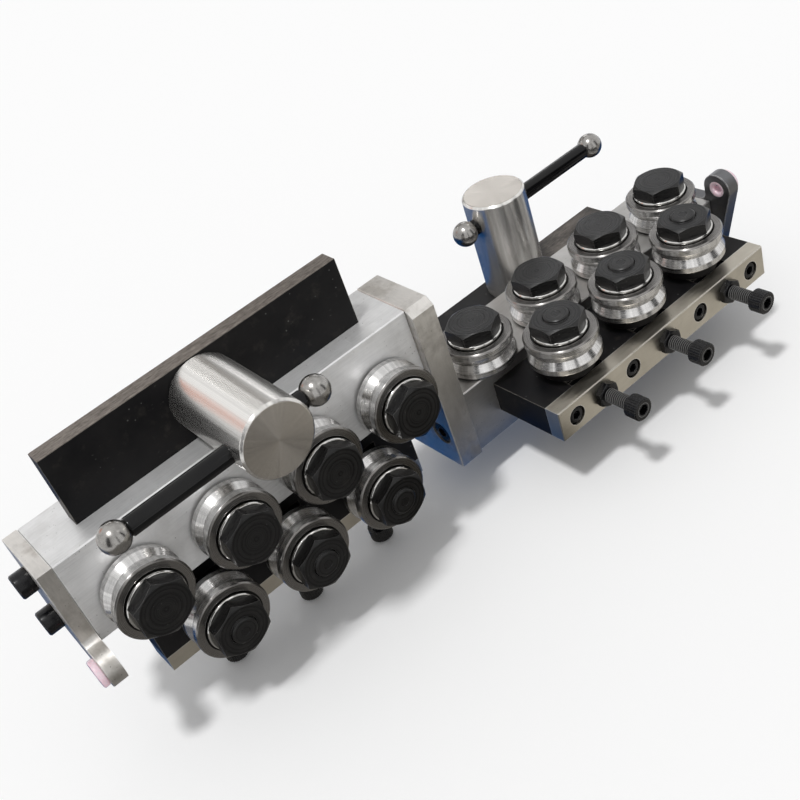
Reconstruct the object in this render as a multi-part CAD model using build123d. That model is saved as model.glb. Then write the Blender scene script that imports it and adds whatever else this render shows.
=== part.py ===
from build123d import *
import os
from math import atan2, cos, pi, radians, sin, sqrt, tan

# Two-plane wire straightener: two equal units of seven idle grooved rollers stand end to end on
# one wire line, the first turned a quarter turn about the wire.  Millimetres.
#
# Each unit is drawn once in its own frame: x along the wire from the first fixed roller,
# y across the wire towards the fixed rollers, z along the roller axes, out of the roller face.
# The wire runs along x at y = 0, z = 0.
# The finished object is +Z up.  Its origin is the middle of the mounting holes in the underside
# of the second block, and the wire then runs along +X above it.

# ---------------------------------------------------------------- driving dimensions
wire_diameter = 3.5            # wire that the grooves are set for at rest

roller_diameter = 41.0         # outer ring of a straightening roller
roller_width = 16.5
roller_edge_break = 0.8
groove_half_width = 4.15
groove_depth = 2.4
seal_recess_radius = 17.0
seal_recess_depth = 1.6
core_radius = 12.0             # inner ring that the outer ring turns on
core_flange_radius = 15.3
core_bore_radius = 7.5
core_foot = 0.75               # how far the inner ring lifts the outer ring off its seat
core_head = 1.75               # how far the inner ring stands past the outer ring
core_flange_thickness = 2.9
core_flange_round = 0.7
bearing_gap = 0.06             # radial running gap between the rings

roller_pitch = 51.4            # along the wire, within one row
fixed_roller_count = 4

hex_across_flats = 27.0
hex_head_height = 7.4
hex_face_share = 0.98          # turned round face of a hexagon over its width across flats
hex_turning_angle = 30.0       # slope of its turned-off corners
screw_tip_share = 0.85         # screw tip over its thread
bolt_thread_radius = 7.0
bolt_thread_depth = 13.0       # in the block
stud_projection = 1.3          # stud end past its nut
thread_gap = 0.05              # between a thread's core solid and its hole, within one body
shank_gap = 0.05               # between a bolt and the inner ring on it

block_entry_margin = 28.4      # block end to first roller axis
block_exit_margin = 26.0       # last roller axis to block end
block_depth = 41.0             # along the roller axes
block_height = 50.4            # across the wire
block_wire_gap = 6.2           # wire to the block's near face
edge_break = 0.6

tongue_thickness = 10.0
tongue_projection = 39.3       # past the block's far face
frame_overhang = 7.55          # past the first and last fixed roller axes
frame_thickness = 19.0
frame_step = 7.3               # frame top below the block's roller face
frame_reach = 34.5             # wire to the frame's front face
slide_gap = 0.10               # flat running gap round tongue and slide blocks

bar_thickness = 9.7
bar_edge_break = 0.5
bar_screw_end_inset = 12.15    # outer bar screws in from the bar's ends
bar_screw_wall_offset = 2.4    # inner bar screws outwards from the middle of the walls between pockets

slide_base_half_width = 17.0
slide_neck_half_width = 12.0
slide_base_thickness = 8.0
slide_floor = 4.3              # frame left under a slide block
slide_length = 23.0            # across the wire
slide_travel_in = 3.0          # towards the wire
slide_travel_out = 2.5
slide_end_gap = 0.4            # left at each end of the travel
shoulder_radius = 15.0
shoulder_lift = 0.3            # shoulder's underside above the frame's top

adjuster_radius = 4.0          # M8
adjuster_running_gap = 0.08
adjuster_neck_radius = 1.9
adjuster_button_radius = 2.8
adjuster_button_thickness = 2.6
adjuster_neck_length = 2.0
adjuster_slot_gap = 0.15
adjuster_head_radius = 6.5
adjuster_head_length = 8.0
adjuster_head_distance = 19.3  # bar front to the underside of the head
adjuster_socket_across_flats = 6.0
adjuster_socket_depth = 4.0
lock_nut_across_flats = 13.0
lock_nut_thickness = 4.0

bar_screw_radius = 3.0         # M6 cap screws in counterbores
bar_screw_head_radius = 5.0
bar_screw_head_length = 6.0
bar_screw_grip = 15.0          # thread in the frame
bar_counterbore_radius = 5.5
bar_counterbore_depth = 6.6
bar_clearance_radius = 3.3
bar_socket_across_flats = 5.0
bar_socket_depth = 3.0

end_screw_radius = 4.0         # M8 cap screws through the end and joint plates
end_screw_head_radius = 6.5
end_screw_head_length = 8.0
end_screw_grip = 15.0
end_screw_clearance_radius = 4.5
end_screw_half_spacing = 12.8
end_socket_across_flats = 6.0
end_socket_depth = 4.0
joint_counterbore_radius = 7.25
joint_counterbore_depth = 8.6
joint_screw_half_spacing = 12.0

guide_plate_thickness = 8.0
guide_arm_radius = 9.5
guide_arm_fillet = 4.0
guide_edge_break = 0.4
eyelet_body_radius = 5.0
eyelet_fit_gap = 0.03
eyelet_flange_radius = 7.5
eyelet_flange_thickness = 3.4
eyelet_bore_radius = 2.6
eyelet_mouth_round = 1.6

joint_plate_thickness = 14.8
joint_plate_wire_gap = 4.5     # wire to the plate's near face
joint_plate_chamfer_drop = 4.2 # down the near face at the top corner

post_radius = 19.0             # the quick-release cam is a round post on an eccentric journal
post_height = 41.0             # past the wire plane
post_edge_break = 1.2
cam_offset = 2.0               # journal axis to post axis: half the quick-release stroke
cam_block_gap = 0.6            # post to the block's far face when locked
cam_seat_gap = 0.10
journal_radius = 8.0
journal_gap = 0.05
journal_rivet_radius = 10.4    # journal end, peened out into a countersink
journal_rivet_depth = 2.5

tommy_bar_radius = 4.75
tommy_bar_gap = 0.10
tommy_bar_height = 27.0        # past the wire plane
tommy_ball_spacing = 107.6     # ball centre to ball centre
tommy_ball_radius = 7.5
tommy_ball_flat = 6.4          # ball centre to the flat that meets the bar
tommy_spigot_radius = 3.0
tommy_spigot_length = 7.0
tommy_spigot_end_gap = 0.5     # left past the spigot in its ball
tommy_ball_stop_gap = 0.3      # ball to post when the bar is pushed right across

first_post_shift = 3.2         # first unit's journal off its row's middle, towards the entry
first_bar_slack = 3.2          # first unit's bar at rest, short of its stop

mount_hole_radius = 3.4        # tapped M8
mount_hole_depth = 12.0
mount_end_inset = 24.3         # in from the block's ends
mount_side_inset = 10.2        # in from its long sides

overrun = 1.0                  # how far a cutter passes the face it opens

# ---------------------------------------------------------------- derived places
groove_root_radius = roller_diameter / 2 - groove_depth
groove_half_angle = atan2(groove_half_width, groove_depth)
row_offset = groove_root_radius + wire_diameter / 2 / sin(groove_half_angle)

seat_z = -roller_width / 2 - core_foot              # block's roller face and shoulder's top
core_top_z = roller_width / 2 + core_head
hex_top_z = core_top_z + hex_head_height

fixed_stations = [k * roller_pitch for k in range(fixed_roller_count)]
moving_stations = [x + roller_pitch / 2 for x in fixed_stations[:-1]]
row_mid_x = fixed_stations[-1] / 2

block_x0 = fixed_stations[0] - block_entry_margin
block_x1 = fixed_stations[-1] + block_exit_margin
block_length = block_x1 - block_x0
block_y0 = block_wire_gap
block_y1 = block_y0 + block_height
block_z0 = seat_z - block_depth
block_mid = Vector((block_x0 + block_x1) / 2, (block_y0 + block_y1) / 2, seat_z - block_depth / 2)

frame_x0 = fixed_stations[0] - frame_overhang
frame_x1 = fixed_stations[-1] + frame_overhang
frame_z1 = seat_z - frame_step
frame_z0 = frame_z1 - frame_thickness
frame_mid_z = (frame_z0 + frame_z1) / 2
tongue_z0 = block_mid.Z - tongue_thickness / 2
tongue_z1 = block_mid.Z + tongue_thickness / 2
tongue_y1 = block_y1 + tongue_projection
bar_front_y = -frame_reach - bar_thickness

slide_z0 = frame_z0 + slide_floor
slide_z1 = slide_z0 + slide_base_thickness
slide_top_z = frame_z1 + shoulder_lift
slide_y0 = -frame_reach + slide_end_gap + slide_travel_out
slide_y1 = slide_y0 + slide_length
pocket_y1 = slide_y1 + slide_travel_in + slide_end_gap

cam_axis_y = block_y1 + cam_block_gap + post_radius + cam_offset
post_axis_y = cam_axis_y - cam_offset
tommy_reach = post_radius + tommy_ball_stop_gap + tommy_ball_radius
tommy_slide = tommy_ball_spacing / 2 - tommy_reach  # bar's middle off the post's axis at its stop

first_cam_x = row_mid_x - first_post_shift
second_cam_x = row_mid_x
first_bar_x = first_cam_x - tommy_slide + first_bar_slack
second_bar_x = second_cam_x + tommy_slide

unit_spacing = block_length + joint_plate_thickness
joint_plate_x0 = block_x1
joint_plate_back = block_depth - seat_z             # far side, flush with the first block's back
joint_plate_mid = (joint_plate_wire_gap + joint_plate_back) / 2


# ---------------------------------------------------------------- shape helpers
def box_between(low, high):
    """Box from its lowest to its highest corner."""
    size = [b - a for a, b in zip(low, high)]
    return Pos(*low) * Box(*size, align=(Align.MIN, Align.MIN, Align.MIN))


def rod(radius, start, end, axis):
    """Cylinder along X, Y or Z between two points that differ along that axis."""
    turn = {"X": Rot(0, 90, 0), "Y": Rot(-90, 0, 0), "Z": Rot(0, 0, 0)}[axis]
    length = (Vector(*end) - Vector(*start)).length
    first = start if sum(start) < sum(end) else end
    return Pos(*first) * turn * Cylinder(radius, length, align=(Align.CENTER, Align.CENTER, Align.MIN))


def turned(points):
    """Solid of revolution about Z from (radius, height) points."""
    outline = Polyline(*[(r, 0, h) for r, h in points], close=True)
    return revolve(make_face(outline), Axis.Z)


def hexagon(across_flats, height):
    """Hexagonal prism standing on z = 0, a flat facing +y."""
    corner_radius = across_flats / sqrt(3)
    return extrude(RegularPolygon(corner_radius, 6), height)


def chamfered_hexagon(across_flats, height):
    """Hexagon whose top corners are turned off."""
    corner_radius = across_flats / sqrt(3) + overrun
    top_radius = across_flats / 2 * hex_face_share
    drop = (corner_radius - top_radius) * tan(radians(hex_turning_angle))
    turning = turned([(0, 0), (corner_radius, 0), (corner_radius, height - drop), (top_radius, height),
                      (0, height)])
    return hexagon(across_flats, height) & turning


def cap_screw(radius, grip, head_radius, head_length, socket, socket_depth):
    """Socket cap screw along z: head above z = 0, shank below it."""
    head = turned([(0, 0), (head_radius, 0), (head_radius, head_length - edge_break),
                   (head_radius - edge_break, head_length), (0, head_length)])
    recess = Pos(0, 0, head_length - socket_depth) * hexagon(socket, socket_depth + overrun)
    tip = radius * screw_tip_share
    shank = turned([(0, -grip), (tip, -grip), (radius, -grip + radius - tip), (radius, 0), (0, 0)])
    return head - recess + shank


# ---------------------------------------------------------------- rollers and what carries them
def roller_ring():
    """Hardened outer ring: vee groove, broken edges, seal recesses, bore that runs on the core."""
    outer = roller_diameter / 2
    half = roller_width / 2
    bore = core_radius + bearing_gap
    floor = half - seal_recess_depth
    outline = [
        (bore, -floor), (seal_recess_radius, -floor), (seal_recess_radius, -half),
        (outer - roller_edge_break, -half), (outer, -half + roller_edge_break),
        (outer, -groove_half_width), (groove_root_radius, 0), (outer, groove_half_width),
        (outer, half - roller_edge_break), (outer - roller_edge_break, half),
        (seal_recess_radius, half), (seal_recess_radius, floor), (bore, floor),
    ]
    return turned(outline)


def bearing_core():
    """Inner ring with the collar that the hexagon clamps."""
    collar_z = core_top_z - core_flange_thickness
    outline = [
        (core_bore_radius, seat_z), (core_radius, seat_z), (core_radius, collar_z),
        (core_flange_radius, collar_z), (core_flange_radius, core_top_z - core_flange_round),
        (core_flange_radius - core_flange_round, core_top_z), (core_bore_radius, core_top_z),
    ]
    return turned(outline)


def fixed_roller_bolt():
    """Hexagon bolt through the core into the block."""
    head = Pos(0, 0, core_top_z) * chamfered_hexagon(hex_across_flats, hex_head_height)
    body = core_bore_radius - shank_gap
    tip = bolt_thread_radius * screw_tip_share
    end = seat_z - bolt_thread_depth
    shank = turned([(0, end), (tip, end), (bolt_thread_radius, end + bolt_thread_radius - tip),
                    (bolt_thread_radius, seat_z), (body, seat_z), (body, core_top_z), (0, core_top_z)])
    return head + shank


def roller_nut():
    """Thin nut on a slide block's stud."""
    blank = chamfered_hexagon(hex_across_flats, hex_head_height)
    hole = Cylinder(bolt_thread_radius + thread_gap, 3 * hex_head_height)
    return Pos(0, 0, core_top_z) * (blank - hole)


def slide_block():
    """T-shaped slide with a round shoulder and stud for its roller, slotted for the adjuster."""
    y0 = slide_y0 + row_offset
    y1 = slide_y1 + row_offset
    base = box_between((-slide_base_half_width, y0, slide_z0), (slide_base_half_width, y1, slide_z1))
    neck = box_between((-slide_neck_half_width, y0, slide_z0), (slide_neck_half_width, y1, slide_top_z))
    body = core_bore_radius - shank_gap
    end = hex_top_z + stud_projection
    tip = bolt_thread_radius - edge_break
    stud = turned([(0, slide_z0), (body, slide_z0), (body, slide_top_z),
                   (shoulder_radius - edge_break, slide_top_z), (shoulder_radius, slide_top_z + edge_break),
                   (shoulder_radius, seat_z - edge_break), (shoulder_radius - edge_break, seat_z),
                   (body, seat_z), (body, core_top_z), (bolt_thread_radius, core_top_z),
                   (bolt_thread_radius, end - edge_break), (tip, end), (0, end)])
    return base + neck + stud - adjuster_slot(y0)


def adjuster_slot(front_y):
    """T-slot in a slide block's front, open below, that the adjuster's button drops into."""
    neck_half = adjuster_neck_radius + adjuster_slot_gap
    button_half = adjuster_button_radius + adjuster_slot_gap
    chamber_y0 = front_y + adjuster_neck_length
    chamber_y1 = chamber_y0 + adjuster_button_thickness + adjuster_slot_gap
    mouth_y = front_y - overrun
    low_z = slide_z0 - overrun
    neck = box_between((-neck_half, mouth_y, low_z), (neck_half, chamber_y0, frame_mid_z))
    neck += rod(neck_half, (0, mouth_y, frame_mid_z), (0, chamber_y0, frame_mid_z), "Y")
    chamber = box_between((-button_half, chamber_y0, low_z), (button_half, chamber_y1, frame_mid_z))
    chamber += rod(button_half, (0, chamber_y0, frame_mid_z), (0, chamber_y1, frame_mid_z), "Y")
    return neck + chamber


def adjusting_screw():
    """Cap screw through the bar whose button end pushes and pulls its slide block; axis along y."""
    front = slide_y0 - adjuster_slot_gap
    neck_y = slide_y0 + adjuster_neck_length + adjuster_slot_gap / 2
    button_y = neck_y + adjuster_button_thickness
    head_y = bar_front_y - adjuster_head_distance
    tail = head_y - adjuster_head_length
    screw = turned([(0, tail), (adjuster_head_radius - edge_break, tail),
                    (adjuster_head_radius, tail + edge_break), (adjuster_head_radius, head_y),
                    (adjuster_radius, head_y), (adjuster_radius, front), (adjuster_neck_radius, front),
                    (adjuster_neck_radius, neck_y), (adjuster_button_radius, neck_y),
                    (adjuster_button_radius, button_y), (0, button_y)])
    recess = hexagon(adjuster_socket_across_flats, adjuster_socket_depth + overrun)
    socket = Pos(0, 0, tail - overrun) * recess
    return Pos(0, 0, frame_mid_z) * Rot(-90, 0, 0) * (screw - socket)


# ---------------------------------------------------------------- block, frame and bar
def end_screw_places(middle, half_spacing):
    """The two screw places either side of a middle."""
    return [middle - half_spacing, middle + half_spacing]


def block(start_screw_y, end_screw_y):
    """Block that carries the fixed rollers, slotted through for the tongue."""
    blank = box_between((block_x0, block_y0, block_z0), (block_x1, block_y1, seat_z))
    body = chamfer(blank.edges(), edge_break)
    body -= box_between((frame_x0 - slide_gap, block_y0 - overrun, tongue_z0 - slide_gap),
                        (frame_x1 + slide_gap, block_y1 + overrun, tongue_z1 + slide_gap))
    for x in fixed_stations:
        hole_end = seat_z - bolt_thread_depth - edge_break
        body -= rod(bolt_thread_radius + thread_gap, (x, row_offset, hole_end),
                    (x, row_offset, seat_z + overrun), "Z")
    for x in (block_x0 + mount_end_inset, block_x1 - mount_end_inset):
        for y in (block_y0 + mount_side_inset, block_y1 - mount_side_inset):
            body -= rod(mount_hole_radius, (x, y, block_z0 - overrun),
                        (x, y, block_z0 + mount_hole_depth), "Z")
    tapped = end_screw_radius + thread_gap
    depth = end_screw_grip + edge_break
    for y in start_screw_y:
        body -= rod(tapped, (block_x0 - overrun, y, block_mid.Z), (block_x0 + depth, y, block_mid.Z), "X")
    for y in end_screw_y:
        body -= rod(tapped, (block_x1 - depth, y, block_mid.Z), (block_x1 + overrun, y, block_mid.Z), "X")
    return body


def bar_screw_stations():
    """Places of the bar's cap screws along the wire: by both ends and by the walls between pockets."""
    outer = row_mid_x - frame_x0 - bar_screw_end_inset
    inner = roller_pitch / 2 + bar_screw_wall_offset
    return [row_mid_x + offset for offset in (-outer, -inner, inner, outer)]


def slide_frame(cam_x):
    """Roller frame in one piece with the tongue that runs through the block."""
    front = box_between((frame_x0, -frame_reach, frame_z0), (frame_x1, block_y0 - slide_gap, frame_z1))
    tongue = box_between((frame_x0, 0, tongue_z0), (frame_x1, tongue_y1, tongue_z1))
    tongue = chamfer(tongue.faces().sort_by(Axis.Y)[-1].edges(), edge_break)
    body = front + tongue
    wide = slide_base_half_width + slide_gap
    narrow = slide_neck_half_width + slide_gap
    mouth_y = -frame_reach - overrun
    for x in moving_stations:
        body -= box_between((x - wide, mouth_y, slide_z0 - slide_gap),
                            (x + wide, pocket_y1, slide_z1 + slide_gap))
        body -= box_between((x - narrow, mouth_y, slide_z0), (x + narrow, pocket_y1, frame_z1 + overrun))
    hole_end = -frame_reach + bar_screw_grip + edge_break
    for x in bar_screw_stations():
        body -= rod(bar_screw_radius + thread_gap, (x, mouth_y, frame_mid_z), (x, hole_end, frame_mid_z), "Y")
    return body - journal_hole(cam_x)


def journal_hole(cam_x):
    """Bore for the cam's journal, countersunk at the tongue's far side."""
    bore = journal_radius + journal_gap
    sink = journal_rivet_radius + journal_gap
    low, high = tongue_z0 - overrun, tongue_z1 + overrun
    outline = [(0, low), (sink, low), (sink, tongue_z0),
               (bore, tongue_z0 + journal_rivet_depth + journal_gap), (bore, high), (0, high)]
    return Pos(cam_x, cam_axis_y, 0) * turned(outline)


def front_bar():
    """Bar that closes the slide pockets and carries the adjusting screws."""
    blank = box_between((frame_x0, bar_front_y, frame_z0), (frame_x1, -frame_reach, frame_z1))
    body = chamfer(blank.faces().sort_by(Axis.Y)[0].edges(), bar_edge_break)
    outside_y, inside_y = bar_front_y - overrun, -frame_reach + overrun
    sink_y = bar_front_y + bar_counterbore_depth
    for x in moving_stations:
        body -= rod(adjuster_radius + adjuster_running_gap, (x, outside_y, frame_mid_z),
                    (x, inside_y, frame_mid_z), "Y")
    for x in bar_screw_stations():
        body -= rod(bar_clearance_radius, (x, outside_y, frame_mid_z), (x, inside_y, frame_mid_z), "Y")
        body -= rod(bar_counterbore_radius, (x, outside_y, frame_mid_z), (x, sink_y, frame_mid_z), "Y")
    return body


def bar_fasteners():
    """Cap screws in the bar's counterbores and the adjusters' lock nuts."""
    seat_y = bar_front_y + bar_counterbore_depth
    grip = -frame_reach + bar_screw_grip - seat_y
    screw = Rot(90, 0, 0) * cap_screw(bar_screw_radius, grip, bar_screw_head_radius, bar_screw_head_length,
                                      bar_socket_across_flats, bar_socket_depth)
    nut = chamfered_hexagon(lock_nut_across_flats, lock_nut_thickness)
    nut -= Cylinder(adjuster_radius + adjuster_running_gap, 3 * lock_nut_thickness)
    nut = Rot(90, 0, 0) * nut
    screws = [Pos(x, seat_y, frame_mid_z) * screw for x in bar_screw_stations()]
    nuts = [Pos(x, bar_front_y, frame_mid_z) * nut for x in moving_stations]
    return screws + nuts


# ---------------------------------------------------------------- quick release
def cam_post(cam_x):
    """Round post on an eccentric journal; half a turn lets the frame back by two offsets."""
    foot = tongue_z1 + cam_seat_gap
    post = turned([(0, foot), (post_radius - edge_break, foot), (post_radius, foot + edge_break),
                   (post_radius, post_height - post_edge_break),
                   (post_radius - post_edge_break, post_height), (0, post_height)])
    journal = turned([(0, tongue_z0), (journal_rivet_radius, tongue_z0),
                      (journal_radius, tongue_z0 + journal_rivet_depth), (journal_radius, foot + edge_break),
                      (0, foot + edge_break)])
    body = Pos(cam_x, post_axis_y, 0) * post + Pos(cam_x, cam_axis_y, 0) * journal
    hole = tommy_bar_radius + tommy_bar_gap
    return body - rod(hole, (cam_x - 2 * post_radius, post_axis_y, tommy_bar_height),
                      (cam_x + 2 * post_radius, post_axis_y, tommy_bar_height), "X")


def tommy_bar(bar_x):
    """Bar that slides in the post, with its middle at bar_x."""
    half = tommy_ball_spacing / 2 - tommy_ball_flat
    spigot_end = half + tommy_spigot_length
    profile = turned([(0, -spigot_end), (tommy_spigot_radius, -spigot_end), (tommy_spigot_radius, -half),
                      (tommy_bar_radius, -half), (tommy_bar_radius, half), (tommy_spigot_radius, half),
                      (tommy_spigot_radius, spigot_end), (0, spigot_end)])
    return tommy_place(bar_x) * Rot(0, 90, 0) * profile


def tommy_balls(bar_x):
    """Ball ends, flat and bored where they meet the bar."""
    past = tommy_ball_radius + overrun
    bore_end = tommy_spigot_length - tommy_ball_flat + tommy_spigot_end_gap
    ball = Sphere(tommy_ball_radius)
    ball -= box_between((-past, -past, -past), (past, past, -tommy_ball_flat))
    ball -= rod(tommy_spigot_radius + thread_gap, (0, 0, -past), (0, 0, bore_end), "Z")
    half = tommy_ball_spacing / 2
    place = tommy_place(bar_x)
    return [place * Pos(half, 0, 0) * Rot(0, 90, 0) * ball, place * Pos(-half, 0, 0) * Rot(0, -90, 0) * ball]


def tommy_place(bar_x):
    """Middle of the bar at rest."""
    return Pos(bar_x, post_axis_y, tommy_bar_height)


# ---------------------------------------------------------------- plates between and at the ends
def guide_plate():
    """End plate whose arm holds the eyelet on the wire line; thickness along x from x = 0."""
    # The near edge runs from the block's low near corner, tangent to the arm's round end.
    corner = Vector(block_y0, block_z0)
    tangent_length = sqrt(corner.length ** 2 - guide_arm_radius ** 2)
    turn = atan2(corner.Y, corner.X) - atan2(tangent_length, guide_arm_radius)
    touch = (guide_arm_radius * cos(turn), guide_arm_radius * sin(turn))
    root = (guide_arm_radius, seat_z)
    edges = [
        Line((block_y0, block_z0), (block_y1, block_z0)),
        Line((block_y1, block_z0), (block_y1, seat_z)),
        Line((block_y1, seat_z), root),
        Line(root, (guide_arm_radius, 0)),
        ThreePointArc((guide_arm_radius, 0), (0, guide_arm_radius), (-guide_arm_radius, 0)),
        ThreePointArc((-guide_arm_radius, 0), arc_middle(pi, turn + 2 * pi), touch),
        Line(touch, (block_y0, block_z0)),
    ]
    plate = extrude(Plane.YZ * make_face(Curve() + edges), guide_plate_thickness)
    root_middle = Vector(guide_plate_thickness / 2, *root)
    crossing_edges = plate.edges().filter_by(Axis.X)
    hollow_edge = crossing_edges.sort_by(lambda edge: (edge.center() - root_middle).length)[0]
    plate = fillet(hollow_edge, guide_arm_fillet)
    plate = chamfer(plate.faces().sort_by(Axis.X)[0].edges(), guide_edge_break)
    return plate - rod(eyelet_body_radius + eyelet_fit_gap, (-overrun, 0, 0),
                       (guide_plate_thickness + overrun, 0, 0), "X")


def arc_middle(start, end):
    """Point half-way round the arm's end between two angles."""
    angle = (start + end) / 2
    return (guide_arm_radius * cos(angle), guide_arm_radius * sin(angle))


def drilled_guide_plate(x0):
    """Guide plate at x0 with its two screw holes."""
    plate = Pos(x0, 0, 0) * guide_plate()
    for y in end_screw_places(block_mid.Y, end_screw_half_spacing):
        plate -= rod(end_screw_clearance_radius, (x0 - overrun, y, block_mid.Z),
                     (x0 + guide_plate_thickness + overrun, y, block_mid.Z), "X")
    return plate


def wire_eyelet():
    """Flanged ceramic eyelet with rounded mouths; flange on the -x side of x = 0."""
    start = -eyelet_flange_thickness
    end = guide_plate_thickness
    rim = edge_break
    outline = [
        (eyelet_bore_radius, start), (eyelet_flange_radius - rim, start), (eyelet_flange_radius, start + rim),
        (eyelet_flange_radius, -rim), (eyelet_flange_radius - rim, 0), (eyelet_body_radius, 0),
        (eyelet_body_radius, end), (eyelet_bore_radius, end),
    ]
    body = turned(outline)
    circles = body.edges().filter_by(GeomType.CIRCLE)
    mouths = circles.filter_by(lambda edge: edge.radius < eyelet_body_radius)
    return Rot(0, 90, 0) * fillet(mouths, eyelet_mouth_round)


def joint_plate():
    """Plate between the blocks, in the second unit's directions with x0 at its near side."""
    low_z = block_z0
    top_z = block_y1
    chamfer_depth = -seat_z - joint_plate_wire_gap
    outline = Polyline((joint_plate_wire_gap, low_z), (joint_plate_back, low_z), (joint_plate_back, top_z),
                       (joint_plate_wire_gap + chamfer_depth, top_z),
                       (joint_plate_wire_gap, top_z - joint_plate_chamfer_drop), close=True)
    plate = extrude(Plane.YZ * make_face(outline), joint_plate_thickness)
    sides = plate.faces().sort_by(Axis.X)
    plate = chamfer(sides[0].edges() + sides[-1].edges(), guide_edge_break)
    for z, y in joint_upper_places():
        plate -= joint_hole(y, z, joint_plate_thickness, -1)
    for z, y in joint_lower_places():
        plate -= joint_hole(y, z, 0, 1)
    return plate


def joint_hole(y, z, mouth_x, inward):
    """Clearance hole with a counterbore opening at mouth_x."""
    hole = rod(end_screw_clearance_radius, (-overrun, y, z), (joint_plate_thickness + overrun, y, z), "X")
    outside = mouth_x - inward * overrun
    bottom = mouth_x + inward * joint_counterbore_depth
    return hole + rod(joint_counterbore_radius, (outside, y, z), (bottom, y, z), "X")


def joint_upper_places():
    """(z, y) of the screws into the first block, which lies a quarter turn round from the second."""
    return [(y, -block_mid.Z) for y in end_screw_places(block_mid.Y, end_screw_half_spacing)]


def joint_lower_places():
    """(z, y) of the screws into the second block."""
    return [(block_mid.Z, y) for y in end_screw_places(joint_plate_mid, joint_screw_half_spacing)]


def end_screws(first, second):
    """All cap screws through the guide plates and the joint plate, in finished places."""
    plate_screw = cap_screw(end_screw_radius, guide_plate_thickness + end_screw_grip, end_screw_head_radius,
                            end_screw_head_length, end_socket_across_flats, end_socket_depth)
    joint_grip = joint_plate_thickness - joint_counterbore_depth + end_screw_grip
    joint_screw = cap_screw(end_screw_radius, joint_grip, end_screw_head_radius,
                            end_screw_head_length, end_socket_across_flats, end_socket_depth)
    towards_plus, towards_minus = Rot(0, -90, 0), Rot(0, 90, 0)
    screws = []
    for y in end_screw_places(block_mid.Y, end_screw_half_spacing):
        entry_x = block_x0 - guide_plate_thickness
        exit_x = block_x1 + guide_plate_thickness
        screws.append(first * Pos(entry_x, y, block_mid.Z) * towards_plus * plate_screw)
        screws.append(second * Pos(exit_x, y, block_mid.Z) * towards_minus * plate_screw)
        seat_x = joint_plate_x0 + joint_plate_thickness - joint_counterbore_depth
        screws.append(first * Pos(seat_x, y, block_mid.Z) * towards_minus * joint_screw)
    for z, y in joint_lower_places():
        seat_x = block_x0 - joint_plate_thickness + joint_counterbore_depth
        screws.append(second * Pos(seat_x, y, z) * towards_plus * joint_screw)
    return screws


# ---------------------------------------------------------------- assembly
wire_line = Pos(-block_mid.X, -block_mid.Y, -block_z0)       # second unit's frame in the finished frame
second_unit = wire_line
first_unit = wire_line * Pos(-unit_spacing, 0, 0) * Rot(90, 0, 0)
joint_place = wire_line * Pos(block_x0 - joint_plate_thickness, 0, 0)


def write(name, shapes):
    """One STEP file for a node, a group of solids where the node has several."""
    shapes = shapes if isinstance(shapes, list) else [shapes]
    solids = [solid for shape in shapes for solid in shape.solids()]
    whole = solids[0] if len(solids) == 1 else Compound(children=solids)
    export_step(whole, os.path.join("parts", name + ".step"))


def write_unit(label, place, cam_x, bar_x, start_screw_y, end_screw_y):
    """Everything that both units have."""
    write(label + "_block", place * block(start_screw_y, end_screw_y))
    write(label + "_slide_frame", place * slide_frame(cam_x))
    write(label + "_front_bar", place * front_bar())
    write(label + "_bar_fasteners", [place * piece for piece in bar_fasteners()])
    write(label + "_cam_post", place * cam_post(cam_x))
    write(label + "_tommy_bar", place * tommy_bar(bar_x))
    write(label + "_tommy_balls", [place * ball for ball in tommy_balls(bar_x)])
    ring, core, nut = roller_ring(), bearing_core(), roller_nut()
    slide, adjuster = slide_block(), adjusting_screw()
    for number, x in enumerate(fixed_stations, 1):
        write(f"{label}_fixed_roller_{number}", place * Pos(x, row_offset, 0) * ring)
    for number, x in enumerate(moving_stations, 1):
        seat = place * Pos(x, -row_offset, 0)
        write(f"{label}_moving_roller_{number}", seat * ring)
        write(f"{label}_moving_core_{number}", seat * core)
        write(f"{label}_slide_block_{number}", seat * slide)
        write(f"{label}_roller_nut_{number}", seat * nut)
        write(f"{label}_adjusting_screw_{number}", place * Pos(x, 0, 0) * adjuster)


def main():
    os.makedirs("parts", exist_ok=True)
    plate_screw_y = end_screw_places(block_mid.Y, end_screw_half_spacing)
    joint_screw_y = [y for z, y in joint_lower_places()]
    write_unit("first", first_unit, first_cam_x, first_bar_x, plate_screw_y, plate_screw_y)
    write_unit("second", second_unit, second_cam_x, second_bar_x, joint_screw_y, plate_screw_y)

    fixed_seats = [unit * Pos(x, row_offset, 0) for unit in (first_unit, second_unit) for x in fixed_stations]
    core, bolt = bearing_core(), fixed_roller_bolt()
    write("fixed_bearing_cores", [seat * core for seat in fixed_seats])
    write("fixed_roller_bolts", [seat * bolt for seat in fixed_seats])

    entry_x = block_x0 - guide_plate_thickness
    write("entry_guide_plate", first_unit * drilled_guide_plate(entry_x))
    write("exit_guide_plate", second_unit * drilled_guide_plate(block_x1))
    exit_x = block_x1 + guide_plate_thickness
    write("wire_eyelets", [first_unit * Pos(entry_x, 0, 0) * wire_eyelet(),
                           second_unit * Pos(exit_x, 0, 0) * Rot(0, 0, 180) * wire_eyelet()])
    write("joint_plate", joint_place * joint_plate())
    write("end_screws", end_screws(first_unit, second_unit))


main()
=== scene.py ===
import math

import bmesh
import bpy
from mathutils import Matrix, Vector


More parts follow.
